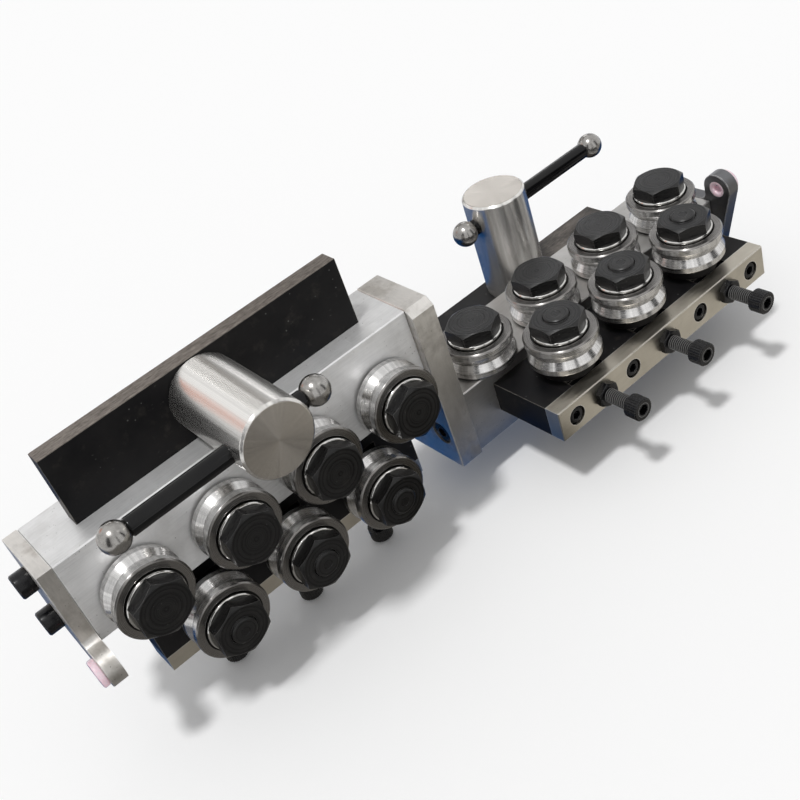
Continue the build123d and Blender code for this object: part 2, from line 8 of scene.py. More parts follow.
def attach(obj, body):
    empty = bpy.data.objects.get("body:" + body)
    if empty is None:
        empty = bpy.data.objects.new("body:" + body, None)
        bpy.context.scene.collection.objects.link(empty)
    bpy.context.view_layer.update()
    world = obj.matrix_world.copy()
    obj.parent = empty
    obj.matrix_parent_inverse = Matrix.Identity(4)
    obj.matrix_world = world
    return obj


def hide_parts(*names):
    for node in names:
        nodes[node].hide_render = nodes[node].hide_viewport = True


# Two-plane wire straightener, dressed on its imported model.  +X along the wire, +Z up.
# Each unit has its own directions: x along the wire from the first fixed roller, y from the wire
# towards the fixed rollers, z along the roller axes, out of the roller face.
# Places and shapes are given in millimetres, finishes, floor and cards in metres.

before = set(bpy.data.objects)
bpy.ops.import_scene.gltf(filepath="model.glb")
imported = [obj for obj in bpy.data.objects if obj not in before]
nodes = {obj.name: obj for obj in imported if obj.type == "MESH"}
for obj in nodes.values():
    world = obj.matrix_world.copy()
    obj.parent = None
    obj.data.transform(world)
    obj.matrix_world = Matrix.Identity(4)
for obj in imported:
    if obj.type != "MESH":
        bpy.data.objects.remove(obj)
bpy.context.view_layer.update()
scene = bpy.context.scene

MM = 0.001
CRISP = math.radians(8)  # corners sharper than this stay crisp on turned pieces
SOFT = math.radians(28)  # and this on the others


def at(x, y, z):
    """Move to a place given in millimetres."""
    return Matrix.Translation((x * MM, y * MM, z * MM))


# turns that point a piece's own z axis somewhere
Z_TO_FRONT = Matrix.Rotation(math.radians(90), 4, "X")
Z_TO_PLUS_X = Matrix.Rotation(math.radians(90), 4, "Y")
Z_TO_MINUS_X = Matrix.Rotation(math.radians(-90), 4, "Y")

# ------------------------------------------------------------------ places, as the model has them
UNITS = {
    "first": at(-299.3, -31.4, 50.0) @ Z_TO_FRONT,
    "second": at(-75.9, -31.4, 50.0),
}
POST_X = {"first": 73.9, "second": 77.1}
POST_Y = 76.2
BAR_X = {"first": 50.1, "second": 104.1}
BAR_Z = 27.0
BALL_OFFSET = 53.8

PITCH = 51.4
ROLLER_RADIUS = 20.5
ROLLER_HALF = 8.25
GROOVE_HALF_WIDTH = 4.15
GROOVE_DEPTH = 2.4
RECESS_RADIUS = 16.1
RECESS_DEPTH = 1.6
RING_BORE = 12.06
WIRE_RADIUS = 1.75
GROOVE_SLOPE = math.atan2(GROOVE_HALF_WIDTH, GROOVE_DEPTH)
ROW = ROLLER_RADIUS - GROOVE_DEPTH + WIRE_RADIUS / math.sin(GROOVE_SLOPE)
SEAT_Z = -9.0
CORE_TOP = 10.0
HEX_TOP = 17.4
HEX_ACROSS = 27.0
STUD_ROOT = HEX_TOP - 3.0
STUD_TOP = 18.7
FRAME_MID_Z = -25.8
BAR_FRONT_Y = -44.2
BAR_SINK = 6.6
BAR_SCREW_X = (-72.5, -28.1, 28.1, 72.5)
BLOCK_X = (-28.4, 180.2)
BLOCK_MID_Y = 31.4
BLOCK_MID_Z = -29.5
END_PLATE = 8.0
END_SCREW_Y = (BLOCK_MID_Y - 12.8, BLOCK_MID_Y + 12.8)
JOINT_SCREW_Y = (15.25, 39.25)
JOINT_SCREW_SEAT = 6.2
ROW_MID_X = 1.5 * PITCH
FIXED_X = [k * PITCH for k in range(4)]
MOVING_X = [(k + 0.5) * PITCH for k in range(3)]


# ------------------------------------------------------------------ camera
def make_camera():
    """Stands where the photograph was taken from."""
    right = Vector((0.73875, -0.61086, -0.28512))
    up = Vector((0.56627, 0.33236, 0.75453))
    back = Vector((-0.36600, -0.71821, 0.59129))
    data = bpy.data.cameras.new("camera")
    data.lens = 51.7
    data.sensor_width = 36.0
    camera = bpy.data.objects.new("camera", data)
    turn = Matrix((right, up, back)).transposed().to_4x4()
    camera.matrix_world = at(-357.095, -450.289, 414.491) @ turn
    scene.collection.objects.link(camera)
    scene.camera = camera


# ------------------------------------------------------------------ shader helpers
class Sheet:
    """A node tree that is filled in by short calls."""

    def __init__(self, tree):
        self.tree = tree

    def node(self, kind, settings=None, **values):
        """Adds a node; settings are its own, values go to its inputs by name or are linked."""
        made = self.tree.nodes.new("ShaderNode" + kind)
        for name, value in (settings or {}).items():
            setattr(made, name, value)
        for name, value in values.items():
            self.feed(made.inputs[name.replace("_", " ")], value)
        return made

    def feed(self, socket, value):
        """Links an output to the socket, or sets it to a plain value."""
        if isinstance(value, bpy.types.NodeSocket):
            self.tree.links.new(value, socket)
        else:
            socket.default_value = value

    def math(self, operation, a, b=0.0):
        """One Math node."""
        made = self.node("Math", {"operation": operation})
        self.feed(made.inputs[0], a)
        self.feed(made.inputs[1], b)
        return made.outputs[0]

    def times(self, a, b):
        """Product of two numbers."""
        return self.math("MULTIPLY", a, b)

    def mix(self, factor, a, b, kind="RGBA"):
        """Mixes two colours."""
        return self.node("Mix", {"data_type": kind}, Factor=factor, A=a, B=b).outputs["Result"]

    def tint(self, base, mask, share, colour):
        """Lays a share of a colour over a base where the mask is."""
        return self.mix(self.times(mask, share), base, colour)

    def blend(self, factor, a, b):
        """Mixes two numbers."""
        return self.mix(factor, a, b, "FLOAT")

    def spread(self, value, low, high, to_low=0.0, to_high=1.0):
        """Map Range, clamped."""
        return self.node("MapRange", Value=value, From_Min=low, From_Max=high, To_Min=to_low,
                         To_Max=to_high).outputs["Result"]

    def noise(self, vector, scale, detail, roughness):
        """Noise value over a vector."""
        made = self.node("TexNoise", Vector=vector, Scale=scale, Detail=detail, Roughness=roughness)
        return made.outputs["Fac"]

    def vector(self, operation, a, b=None):
        """One Vector Math node."""
        made = self.node("VectorMath", {"operation": operation})
        self.feed(made.inputs[0], a)
        if b is not None:
            self.feed(made.inputs[1], b)
        return made.outputs["Value" if operation == "DOT_PRODUCT" else "Vector"]

    def radius(self, x, y):
        """Distance from the turning axis."""
        return self.math("SQRT", self.math("ADD", self.times(x, x), self.times(y, y)))


def new_group(name, inputs, outputs):
    """Shader node group with (name, kind, default) inputs and (name, kind) outputs."""
    tree = bpy.data.node_groups.new(name, "ShaderNodeTree")
    kinds = {"number": "NodeSocketFloat", "vector": "NodeSocketVector"}
    for label, kind, default in inputs:
        socket = tree.interface.new_socket(label, in_out="INPUT", socket_type=kinds[kind])
        if default is not None:
            socket.default_value = default
    for label, kind in outputs:
        tree.interface.new_socket(label, in_out="OUTPUT", socket_type=kinds[kind])
    given = tree.nodes.new("NodeGroupInput").outputs
    return tree, Sheet(tree), given, tree.nodes.new("NodeGroupOutput").inputs


def edge_wear_and_highlight_group():
    """Mask of corners and edges, broken up by noise; the finishes paint these edges pale, partly as
    real wear and partly as a painted highlight.
    """
    tree, s, given, out = new_group(
        "edge wear",
        [("Place", "vector", None), ("Width", "number", 0.0006), ("Unevenness", "number", 0.5)],
        [("Mask", "number")])
    rounded = s.node("Bevel", {"samples": 6}, Radius=given["Width"])
    plain = s.node("NewGeometry")
    match = s.vector("DOT_PRODUCT", rounded.outputs["Normal"], plain.outputs["Normal"])
    bent = s.math("SUBTRACT", 1.0, match)
    patch = s.noise(given["Place"], 260.0, 4.0, 0.6)
    floor = s.blend(given["Unevenness"], 0.0, s.spread(patch, 0.35, 0.7, 0.0, 0.2))
    s.feed(out["Mask"], s.spread(s.math("SUBTRACT", bent, floor), 0.01, 0.12))
    return tree


def fine_lines_group():
    """Long fine lines from grinding or brushing, and a few deeper scratches."""
    tree, s, given, out = new_group(
        "fine lines",
        [("Place", "vector", None), ("Along", "vector", (1.0, 1.0, 1.0)),
         ("Crossing", "vector", (1.0, 1.0, 1.0))],
        [("Lines", "number"), ("Scratches", "number")])
    along = s.vector("MULTIPLY", given["Place"], given["Along"])
    s.feed(out["Lines"], s.noise(along, 900.0, 4.0, 0.7))
    crossing = s.vector("MULTIPLY", given["Place"], given["Crossing"])
    rare = s.noise(crossing, 700.0, 2.0, 0.5)
    where = s.noise(given["Place"], 60.0, 2.0, 0.5)
    deep = s.times(s.spread(rare, 0.70, 0.76), s.spread(where, 0.48, 0.62))
    s.feed(out["Scratches"], deep)
    return tree


def specks_group():
    """Small round specks: pits, lint or rust spots."""
    tree, s, given, out = new_group(
        "specks", [("Place", "vector", None), ("Scale", "number", 400.0), ("Share", "number", 0.5)],
        [("Specks", "number"), ("Patches", "number")])
    cells = s.node("TexVoronoi", Vector=given["Place"], Scale=given["Scale"], Randomness=1.0)
    dots = s.spread(cells.outputs["Distance"], 0.16, 0.10)
    patches = s.noise(given["Place"], 45.0, 4.0, 0.6)
    lot = s.node("SeparateColor", Color=cells.outputs["Color"]).outputs[0]
    chosen = s.math("LESS_THAN", lot, given["Share"])
    s.feed(out["Specks"], s.times(dots, chosen))
    s.feed(out["Patches"], patches)
    return tree


def turning_marks_group():
    """Rings left by a lathe, from a piece's own radius and height."""
    tree, s, given, out = new_group(
        "turning marks", [("Own", "vector", None), ("Fineness", "number", 2500.0)],
        [("Rings", "number"), ("Streaks", "number")])
    parts = s.node("SeparateXYZ", Vector=given["Own"])
    x, y, z = parts.outputs[0], parts.outputs[1], parts.outputs[2]
    place = s.node("CombineXYZ", X=s.radius(x, y), Y=z)
    rings = s.node("TexNoise", {"noise_dimensions": "2D"}, Vector=place.outputs[0],
                   Scale=given["Fineness"], Detail=3.0, Roughness=0.7)
    s.feed(out["Rings"], rings.outputs["Fac"])
    # streaks by angle round the axis, which turned_steel paints on as reflections
    direction = s.vector("NORMALIZE", s.node("CombineXYZ", X=x, Y=y).outputs[0])
    streaks = s.node("TexNoise", {"noise_dimensions": "2D"}, Vector=direction, Scale=8.0,
                     Detail=5.0, Roughness=0.68)
    s.feed(out["Streaks"], streaks.outputs["Fac"])
    return tree


# edge mask: partly real wear, partly a painted edge highlight
EDGE_WEAR_AND_HIGHLIGHT = edge_wear_and_highlight_group()
FINE_LINES = fine_lines_group()
SPECKS = specks_group()
TURNING_MARKS = turning_marks_group()


class Finish(Sheet):
    """A material with its Principled shader, ready to be fed."""

    def __init__(self, name, **plain):
        self.material = bpy.data.materials.new(name)
        self.material.use_nodes = True
        super().__init__(self.material.node_tree)
        self.surface = self.tree.nodes["Principled BSDF"]
        for label, value in plain.items():
            self.surface.inputs[label.replace("_", " ")].default_value = value
        self.place = self.node("TexCoord").outputs["Object"]

    def group(self, tree, **values):
        """Places a node group and returns its outputs."""
        made = self.tree.nodes.new("ShaderNodeGroup")
        made.node_tree = tree
        for name, value in values.items():
            self.feed(made.inputs[name], value)
        return made.outputs

    def own(self):
        """The piece's own coordinates about its turning axis."""
        return self.node("Attribute", {"attribute_name": "own"}).outputs["Vector"]

    def turned_grain(self, amount):
        """Reflections drawn out across the turning direction."""
        self.surface.inputs["Anisotropic"].default_value = amount
        self.surface.inputs["Anisotropic Rotation"].default_value = 0.25
        tangent = self.node("Tangent", {"direction_type": "UV_MAP", "uv_map": "turning"})
        self.feed(self.surface.inputs["Tangent"], tangent.outputs[0])

    def set(self, colour=None, roughness=None, metallic=None, height=None, depth=0.0001,
            strength=1.0):
        """Feeds the shader."""
        if colour is not None:
            self.feed(self.surface.inputs["Base Color"], colour)
        if roughness is not None:
            self.feed(self.surface.inputs["Roughness"], roughness)
        if metallic is not None:
            self.feed(self.surface.inputs["Metallic"], metallic)
        if height is not None:
            bump = self.node("Bump", Height=height, Strength=strength, Distance=depth)
            self.feed(self.surface.inputs["Normal"], bump.outputs[0])
        return self.material


# ------------------------------------------------------------------ finishes
def grey(tone, share=1.0):
    """Colour as the shader takes it, lightened or darkened by a share."""
    return tuple(min(1.0, share * part) for part in tone) + (1,)


def ground_steel(name, tone, stain, along=(0.06, 1.0, 1.0), roughness=0.30, metallic=1.0):
    """Surface-ground steel: fine lines one way, handling marks, a few stains, and bright edges that
    are partly worn and partly a painted highlight.
    """
    f = Finish(name, Metallic=metallic)
    lines = f.group(FINE_LINES, Place=f.place, Along=along, Crossing=(0.9, 0.05, 0.6))
    wear_and_highlight = f.group(EDGE_WEAR_AND_HIGHLIGHT, Place=f.place, Width=0.0007, Unevenness=0.3)
    spots = f.group(SPECKS, Place=f.place, Scale=560.0, Share=0.25)
    clouds = f.noise(f.place, 20.0, 6.0, 0.62)
    base = f.mix(f.spread(clouds, 0.34, 0.68), grey(tone, 0.74), grey(tone, 1.08))
    base = f.mix(f.spread(lines["Lines"], 0.3, 0.75, 0.0, 0.4), base, grey(tone, 1.25))
    dirt = f.times(f.spread(spots["Patches"], 0.50, 0.64), stain)
    base = f.tint(base, dirt, 0.5, (0.13, 0.105, 0.075, 1))
    pits = f.times(spots["Specks"], f.spread(spots["Patches"], 0.42, 0.58))
    base = f.tint(base, pits, 0.8, (0.05, 0.043, 0.035, 1))
    base = f.tint(base, lines["Scratches"], 0.35, grey(tone, 1.6))
    # bright edges: partly wear, partly a painted highlight
    base = f.tint(base, wear_and_highlight["Mask"], 0.8, (0.93, 0.92, 0.90, 1))
    rough = f.spread(lines["Lines"], 0.3, 0.7, roughness - 0.05, roughness + 0.08)
    rough = f.math("ADD", rough, f.times(dirt, 0.2))
    rough = f.math("SUBTRACT", rough, f.times(wear_and_highlight["Mask"], 0.08))
    height = f.math("ADD", lines["Lines"], f.times(lines["Scratches"], -1.2))
    height = f.math("SUBTRACT", height, f.times(pits, 1.5))
    return f.set(base, rough, None, height, 0.00003, 0.5)


def rubbed_bare(f):
    """Where the black is gone: both tongues' end faces and a stretch of the second's top."""
    axes = f.node("SeparateXYZ", Vector=f.place).outputs
    ends = f.math("MAXIMUM", f.spread(axes[2], 0.1451, 0.1456), f.spread(axes[1], 0.0637, 0.0642))
    behind = f.math("GREATER_THAN", axes[1], 0.0262)
    stretch = f.times(f.spread(axes[0], 0.018, 0.040), behind)
    drawn_out = f.vector("MULTIPLY", f.place, (0.3, 1.0, 1.0))
    patch = f.spread(f.noise(drawn_out, 90.0, 5.0, 0.7), 0.32, 0.62)
    return f.math("MAXIMUM", ends, f.times(f.times(stretch, patch), 0.75))


def black_oxide(name, wear_share, worn_tone, dust=0.3, bare=False):
    """Blackened steel: nearly black, rubbed through along its edges, which are also painted lighter
    as a highlight, with a little lint.
    """
    f = Finish(name, Metallic=0.0, Specular_IOR_Level=0.16)
    lines = f.group(FINE_LINES, Place=f.place, Along=(0.25, 1.0, 1.0), Crossing=(0.5, 0.06, 0.9))
    wear_and_highlight = f.group(EDGE_WEAR_AND_HIGHLIGHT, Place=f.place, Width=0.0007, Unevenness=0.9)
    lint = f.group(SPECKS, Place=f.place, Scale=330.0, Share=0.10)
    clouds = f.noise(f.place, 34.0, 5.0, 0.62)
    base = f.mix(f.spread(clouds, 0.35, 0.7), (0.0045, 0.0045, 0.0055, 1),
                 (0.012, 0.011, 0.011, 1))
    rubbed = f.spread(f.noise(f.place, 95.0, 6.0, 0.72), 0.56, 0.74)
    base = f.tint(base, rubbed, wear_share, worn_tone + (1,))
    base = f.tint(base, lines["Scratches"], 0.3, (0.10, 0.095, 0.09, 1))
    base = f.tint(base, lint["Specks"], dust, (0.25, 0.25, 0.24, 1))
    # lighter edges: partly rubbed through, partly a painted highlight
    base = f.tint(base, wear_and_highlight["Mask"], 0.6, (0.34, 0.32, 0.28, 1))
    rough = f.spread(clouds, 0.3, 0.7, 0.38, 0.55)
    metal = None
    if bare:
        gone = rubbed_bare(f)
        streaks = f.spread(lines["Lines"], 0.3, 0.7)
        base = f.mix(gone, base, f.mix(streaks, (0.09, 0.078, 0.068, 1), (0.27, 0.24, 0.215, 1)))
        metal = f.times(gone, 0.9)
    height = f.math("ADD", f.times(clouds, 0.6), f.times(lines["Lines"], 0.5))
    return f.set(base, rough, metal, height, 0.00005, 0.4)


def black_turned(name):
    """Blackened hexagons and studs: faint turned rings, and thin corners painted bright, partly as
    wear and partly as a painted highlight.
    """
    f = Finish(name, Metallic=0.0, Specular_IOR_Level=0.38)
    marks = f.group(TURNING_MARKS, Own=f.own(), Fineness=1100.0)
    wear_and_highlight = f.group(EDGE_WEAR_AND_HIGHLIGHT, Place=f.place, Width=0.0003, Unevenness=0.4)
    lint = f.group(SPECKS, Place=f.place, Scale=420.0, Share=0.12)
    clouds = f.noise(f.place, 120.0, 4.0, 0.6)
    base = f.mix(f.spread(marks["Rings"], 0.40, 0.66), (0.002, 0.002, 0.0025, 1),
                 (0.009, 0.0088, 0.0086, 1))
    base = f.tint(base, f.spread(clouds, 0.55, 0.75), 0.3, (0.030, 0.027, 0.024, 1))
    base = f.tint(base, lint["Specks"], 0.18, (0.2, 0.2, 0.19, 1))
    # bright corners: partly wear, partly a painted highlight
    base = f.tint(base, wear_and_highlight["Mask"], 0.6, (0.30, 0.29, 0.28, 1))
    rough = f.spread(marks["Rings"], 0.3, 0.7, 0.24, 0.40)
    return f.set(base, rough, None, marks["Rings"], 0.00012, 0.7)


def black_screw(name):
    """Blackened cap screws: smooth heads; thread crests painted light grey as a highlight, and
    edges painted pale, partly wear and partly highlight.
    """
    f = Finish(name, Metallic=0.0, Specular_IOR_Level=0.28)
    wear_and_highlight = f.group(EDGE_WEAR_AND_HIGHLIGHT, Place=f.place, Width=0.00022, Unevenness=0.1)
    clouds = f.noise(f.place, 260.0, 4.0, 0.6)
    base = f.mix(f.spread(clouds, 0.4, 0.7), (0.002, 0.002, 0.003, 1), (0.007, 0.007, 0.008, 1))
    axes = f.node("SeparateXYZ", Vector=f.own()).outputs
    radius = f.radius(axes[0], axes[1])
    # thread crests of the adjusting screw painted light grey: a painted highlight
    crest = f.spread(radius, 0.00375, 0.00395)
    crest = f.times(crest, f.math("LESS_THAN", radius, 0.00403))
    crest = f.times(crest, f.math("GREATER_THAN", axes[2], 0.030))
    base = f.tint(base, crest, 0.9, (0.26, 0.255, 0.25, 1))
    # pale edges: partly wear, partly a painted highlight
    base = f.tint(base, wear_and_highlight["Mask"], 0.6, (0.22, 0.215, 0.21, 1))
    return f.set(base, f.spread(clouds, 0.3, 0.7, 0.18, 0.32), None, clouds, 0.00003, 0.3)


def black_gloss(name):
    """Black tommy bar: smooth and shiny, a few rub marks along it."""
    f = Finish(name, Metallic=0.0, Specular_IOR_Level=0.25)
    lines = f.group(FINE_LINES, Place=f.place, Along=(0.03, 1.0, 1.0), Crossing=(0.04, 1.0, 1.0))
    clouds = f.noise(f.place, 55.0, 4.0, 0.6)
    base = f.mix(f.spread(clouds, 0.4, 0.7), (0.0025, 0.0025, 0.003, 1), (0.006, 0.006, 0.006, 1))
    base = f.tint(base, lines["Scratches"], 0.4, (0.09, 0.09, 0.09, 1))
    rough = f.spread(lines["Lines"], 0.3, 0.75, 0.06, 0.11)
    return f.set(base, rough, None, lines["Lines"], 0.00001, 0.15)


def satin_nickel(name):
    """Bright front bar: warm satin plate with fine lines, specks, and edges painted bright, partly
    worn and partly a painted highlight.
    """
    f = Finish(name, Metallic=1.0)
    lines = f.group(FINE_LINES, Place=f.place, Along=(0.08, 1.0, 1.0), Crossing=(0.9, 0.08, 0.6))
    wear_and_highlight = f.group(EDGE_WEAR_AND_HIGHLIGHT, Place=f.place, Width=0.0008, Unevenness=0.1)
    spots = f.group(SPECKS, Place=f.place, Scale=600.0, Share=0.3)
    clouds = f.noise(f.place, 30.0, 4.0, 0.6)
    base = f.mix(f.spread(clouds, 0.35, 0.7), (0.46, 0.425, 0.36, 1), (0.60, 0.56, 0.485, 1))
    base = f.tint(base, f.spread(lines["Lines"], 0.35, 0.75), 0.3, (0.70, 0.665, 0.59, 1))
    pits = f.times(spots["Specks"], f.spread(spots["Patches"], 0.48, 0.6))
    base = f.tint(base, pits, 0.7, (0.08, 0.07, 0.055, 1))
    # bright edges: partly wear, partly a painted highlight
    base = f.tint(base, wear_and_highlight["Mask"], 0.85, (0.97, 0.96, 0.93, 1))
    height = f.math("SUBTRACT", lines["Lines"], pits)
    return f.set(base, f.spread(lines["Lines"], 0.3, 0.7, 0.28, 0.42), None, height, 0.00003, 0.4)


def turned_steel(name, side_tone, shaded_face_tone, face_height, rough_low, rough_high, grain, fineness,
                 bump, painted_burst, rings=0.3, streaks=0.12):
    """Turned or ground round steel, its grain round the axis; end faces have their own tone,
    painted darker than the side as shade, and the streaks round the side and the radial burst on
    end faces are painted reflections.
    """
    f = Finish(name, Metallic=1.0)
    f.turned_grain(grain)
    own = f.own()
    height = f.math("ABSOLUTE", f.node("SeparateXYZ", Vector=own).outputs[2])
    face = f.math("GREATER_THAN", height, face_height)
    marks = f.group(TURNING_MARKS, Own=own, Fineness=fineness)
    wear_and_highlight = f.group(EDGE_WEAR_AND_HIGHLIGHT, Place=f.place, Width=0.00028, Unevenness=0.1)
    spots = f.group(SPECKS, Place=f.place, Scale=700.0, Share=0.25)
    # end faces get a darker tone than the side: painted shade
    base = f.mix(face, grey(side_tone), grey(shaded_face_tone))
    shade = f.times(f.spread(marks["Rings"], 0.32, 0.70), f.blend(face, rings, 0.35))
    base = f.mix(shade, base, f.mix(face, grey(side_tone, 0.7), grey(shaded_face_tone, 0.7)))
    # darker streaks round the side and a radial burst on end faces: painted reflections
    painted_reflection_streaks = f.times(f.spread(marks["Streaks"], 0.38, 0.66), f.blend(face, streaks, painted_burst))
    base = f.mix(painted_reflection_streaks, base, f.mix(face, grey(side_tone, 0.45), grey(shaded_face_tone, 0.45)))
    pits = f.times(spots["Specks"], f.spread(spots["Patches"], 0.5, 0.62))
    base = f.tint(base, pits, 0.5, (0.06, 0.055, 0.05, 1))
    base = f.tint(base, wear_and_highlight["Mask"], 0.5, (0.90, 0.90, 0.88, 1))
    rough = f.spread(marks["Rings"], 0.3, 0.7, rough_low, rough_high)
    rough = f.math("SUBTRACT", rough, f.times(wear_and_highlight["Mask"], 0.5 * rough_low))
    return f.set(base, rough, None, marks["Rings"], 0.00003, bump)


def polished_ball(name):
    """Chromed ball with faint smears."""
    f = Finish(name, Metallic=1.0)
    smears = f.noise(f.place, 240.0, 4.0, 0.6)
    base = f.mix(f.spread(smears, 0.4, 0.75), (0.36, 0.35, 0.335, 1), (0.22, 0.21, 0.20, 1))
    return f.set(base, f.spread(smears, 0.4, 0.75, 0.20, 0.30))


def seal_rubber(name):
    """Black seal in the end of a roller."""
    f = Finish(name, Metallic=0.0, Specular_IOR_Level=0.3)
    marks = f.group(TURNING_MARKS, Own=f.own(), Fineness=1200.0)
    base = f.mix(f.spread(marks["Rings"], 0.3, 0.7), (0.006, 0.006, 0.006, 1),
                 (0.020, 0.019, 0.018, 1))
    rough = f.spread(marks["Rings"], 0.3, 0.7, 0.42, 0.6)
    return f.set(base, rough, None, marks["Rings"], 0.00006, 0.4)


def pink_ceramic(name):
    """Glazed pink ceramic with faint paler rings."""
    f = Finish(name, Metallic=0.0, Coat_Weight=0.5, Coat_Roughness=0.08, Subsurface_Weight=0.15)
    f.surface.inputs["Subsurface Radius"].default_value = (0.002, 0.001, 0.001)
    marks = f.group(TURNING_MARKS, Own=f.own(), Fineness=800.0)
    cloud = f.noise(f.place, 300.0, 3.0, 0.5)
    base = f.mix(f.spread(cloud, 0.35, 0.7), (0.80, 0.56, 0.64, 1), (0.86, 0.70, 0.76, 1))
    base = f.tint(base, f.spread(marks["Rings"], 0.45, 0.7), 0.3, (0.92, 0.82, 0.85, 1))
    return f.set(base, f.spread(cloud, 0.3, 0.7, 0.18, 0.30), None, marks["Rings"], 0.00003, 0.2)


ACROSS_PLATE = (1.0, 0.2, 0.2)
# one steel for both blocks, painted lighter on the first and darker on the second: painted light
# and shade
LIGHTER_PAINTED_BLOCK_STEEL = ground_steel("block steel painted lighter", (0.74, 0.74, 0.74), 0.25,
                                 roughness=0.36, metallic=0.5)
DARKER_PAINTED_BLOCK_STEEL = ground_steel("block steel painted darker", (0.50, 0.49, 0.475), 0.25,
                                  roughness=0.34, metallic=0.9)
PLATE_STEEL = ground_steel("ground plate steel", (0.66, 0.64, 0.61), 0.8, ACROSS_PLATE, 0.36)
EXIT_STEEL = ground_steel("dark exit plate steel", (0.17, 0.172, 0.18), 0.6, ACROSS_PLATE, 0.34)
FRAME_BLACK = black_oxide("black slide frame", 0.35, (0.055, 0.048, 0.040), bare=True)
SLIDE_BLACK = black_oxide("black slide block", 0.10, (0.03, 0.028, 0.026), 0.15)
HEX_BLACK = black_turned("black hexagons")
SCREW_BLACK = black_screw("black screws")
BAR_BLACK = black_gloss("glossy black bar")
BAR_NICKEL = satin_nickel("satin front bar")
# second tone is the end faces', painted darker as shade; streaks and burst are painted reflections
ROLLER_STEEL = turned_steel("ground roller steel", (0.74, 0.73, 0.72), (0.27, 0.26, 0.25), 0.0074,
                            0.20, 0.32, grain=0.75, fineness=3200.0, bump=0.1, painted_burst=0.2,
                            rings=0.3, streaks=0.6)
POST_STEEL = turned_steel("turned post steel", (0.76, 0.745, 0.72), (0.52, 0.49, 0.45), 0.0409,
                          0.24, 0.27, grain=0.85, fineness=2400.0, bump=0.015, painted_burst=0.22,
                          rings=0.02, streaks=0.35)
CORE_STEEL = turned_steel("polished core steel", (0.66, 0.65, 0.63), (0.62, 0.61, 0.59), 0.0099,
                          0.08, 0.16, grain=0.3, fineness=3000.0, bump=0.1, painted_burst=0.1)
BALL_CHROME = polished_ball("chromed ball")
SEAL_BLACK = seal_rubber("black seal")
EYELET_PINK = pink_ceramic("pink ceramic")


# ------------------------------------------------------------------ mesh helpers
def sharp_corners(bm, least):
    """Smooth faces, with every corner sharper than least kept crisp."""
    for face in bm.faces:
        face.smooth = True
    for edge in bm.edges:
        edge.smooth = edge.is_manifold and edge.calc_face_angle(0.0) < least


def lathe(outline, steps=96, round_off=0.0, closed=False):
    """Turns (radius, height) points about Z; closed joins the last point to the first."""
    bm = bmesh.new()
    verts = [bm.verts.new((radius * MM, 0.0, height * MM)) for radius, height in outline]
    pairs = list(zip(verts, verts[1:]))
    if closed:
        pairs.append((verts[-1], verts[0]))
    edges = [bm.edges.new(pair) for pair in pairs]
    bmesh.ops.spin(bm, geom=verts + edges, axis=(0, 0, 1), angle=2 * math.pi, steps=steps,
                   use_merge=True)
    bmesh.ops.remove_doubles(bm, verts=bm.verts, dist=1e-7)
    bmesh.ops.recalc_face_normals(bm, faces=bm.faces)
    if round_off:
        corners = [edge for edge in bm.edges
                   if edge.is_manifold and edge.calc_face_angle(0.0) > math.radians(20)
                   and abs(edge.verts[0].co.z - edge.verts[1].co.z) < 1e-7
                   and abs(edge.verts[0].co.xy.length - edge.verts[1].co.xy.length) < 1e-7]
        bmesh.ops.bevel(bm, geom=corners, offset=round_off * MM, segments=2, profile=0.5,
                        affect="EDGES", clamp_overlap=True, material=-1)
    return bm


def hexagon_bar(across_flats, low, high):
    """Hexagonal prism with flats facing plus and minus y."""
    bm = bmesh.new()
    corner = across_flats * MM / math.sqrt(3)
    ring = bmesh.ops.create_circle(bm, cap_ends=True, segments=6, radius=corner)
    bmesh.ops.translate(bm, verts=ring["verts"], vec=(0, 0, low * MM))
    pushed = bmesh.ops.extrude_face_region(bm, geom=bm.faces[:])
    top = [item for item in pushed["geom"] if isinstance(item, bmesh.types.BMVert)]
    bmesh.ops.translate(bm, verts=top, vec=(0, 0, (high - low) * MM))
    bmesh.ops.recalc_face_normals(bm, faces=bm.faces)
    return bm


def combine(first, second, operation):
    """Cuts, crosses or joins two closed shapes and returns the result."""
    holders = []
    for bm in (first, second):
        mesh = bpy.data.meshes.new("working shape")
        bm.to_mesh(mesh)
        bm.free()
        holder = bpy.data.objects.new("working shape", mesh)
        scene.collection.objects.link(holder)
        holders.append(holder)
    cut = holders[0].modifiers.new("cut", "BOOLEAN")
    cut.object = holders[1]
    cut.operation = operation
    cut.solver = "EXACT"
    ready = holders[0].evaluated_get(bpy.context.evaluated_depsgraph_get())
    result = bmesh.new()
    result.from_mesh(ready.to_mesh())
    ready.to_mesh_clear()
    for holder in holders:
        mesh = holder.data
        bpy.data.objects.remove(holder)
        bpy.data.meshes.remove(mesh)
    bmesh.ops.remove_doubles(result, verts=result.verts, dist=1e-6)
    return result


def join(shapes):
    """Puts several separate shapes into one bmesh."""
    whole = bmesh.new()
    for bm in shapes:
        mesh = bpy.data.meshes.new("working shape")
        bm.to_mesh(mesh)
        bm.free()
        whole.from_mesh(mesh)
        bpy.data.meshes.remove(mesh)
    return whole


def moved(bm, matrix):
    """The same shape, moved."""
    bmesh.ops.transform(bm, matrix=matrix, verts=bm.verts)
    return bm


